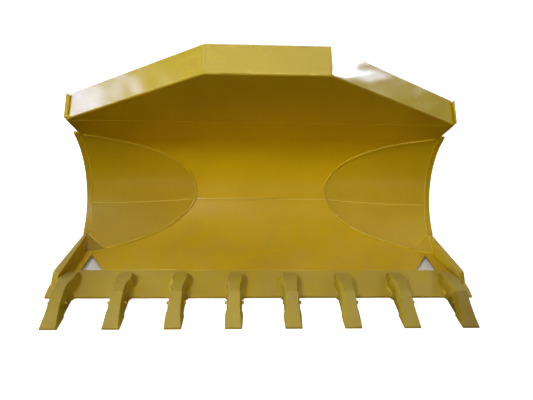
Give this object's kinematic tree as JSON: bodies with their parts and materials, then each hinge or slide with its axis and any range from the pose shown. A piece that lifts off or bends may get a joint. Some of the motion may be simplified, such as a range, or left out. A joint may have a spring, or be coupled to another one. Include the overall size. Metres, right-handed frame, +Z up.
{
  "type": "skid steer bucket",
  "caption": "Toothed skid steer bucket with dished corner panels, a flanged spill guard and a universal quick-attach back plate.",
  "frame": {"origin": "bottom centre of the whole bucket's box, on the ground under its flat floor", "axes": "+X to the bucket's right across the cutting edge, +Y from the teeth to the quick-attach plate, +Z up with the floor level"},
  "size_m": [2.149, 1.083, 1.1839],
  "materials": {
    "body_yellow": "gloss",
    "wear_yellow": "semi-gloss",
    "tooth_yellow": "semi-gloss",
    "pin_steel": "satin"
  },
  "bodies": {
    "root": {"cutting_edge": "wear_yellow", "floor_shell_plate": "body_yellow", "upper_shell_plate": "body_yellow", "spill_guard_plate": "body_yellow", "flange_centre": "body_yellow", "flange_left": "body_yellow", "flange_right": "body_yellow", "flange_cap_left": "body_yellow", "flange_cap_right": "body_yellow", "guard_brace_1": "body_yellow", "guard_brace_2": "body_yellow", "guard_brace_3": "body_yellow", "end_plate_left": "body_yellow", "end_plate_right": "body_yellow", "side_cutter_left": "wear_yellow", "side_cutter_right": "wear_yellow", "floor_wedge_left": "body_yellow", "floor_wedge_right": "body_yellow", "corner_panel_left": "body_yellow", "corner_panel_right": "body_yellow", "corner_gusset_left": "body_yellow", "corner_gusset_right": "body_yellow", "attach_plate": "body_yellow", "attach_top_lip": "body_yellow", "attach_bottom_ledge": "body_yellow", "back_channel": "body_yellow", "back_rib_1": "body_yellow", "back_rib_2": "body_yellow", "back_rib_3": "body_yellow", "back_rib_4": "body_yellow", "wear_strip_1": "wear_yellow", "wear_strip_2": "wear_yellow", "wear_strip_3": "wear_yellow", "wear_strip_4": "wear_yellow", "tooth_adapter_1": "tooth_yellow", "tooth_adapter_2": "tooth_yellow", "tooth_adapter_3": "tooth_yellow", "tooth_adapter_4": "tooth_yellow", "tooth_adapter_5": "tooth_yellow", "tooth_adapter_6": "tooth_yellow", "tooth_adapter_7": "tooth_yellow", "tooth_adapter_8": "tooth_yellow", "tooth_point_1": "tooth_yellow", "tooth_point_2": "tooth_yellow", "tooth_point_3": "tooth_yellow", "tooth_point_4": "tooth_yellow", "tooth_point_5": "tooth_yellow", "tooth_point_6": "tooth_yellow", "tooth_point_7": "tooth_yellow", "tooth_point_8": "tooth_yellow", "tooth_pin_1": "pin_steel", "tooth_pin_2": "pin_steel", "tooth_pin_3": "pin_steel", "tooth_pin_4": "pin_steel", "tooth_pin_5": "pin_steel", "tooth_pin_6": "pin_steel", "tooth_pin_7": "pin_steel", "tooth_pin_8": "pin_steel"}
  },
  "joints": []
}
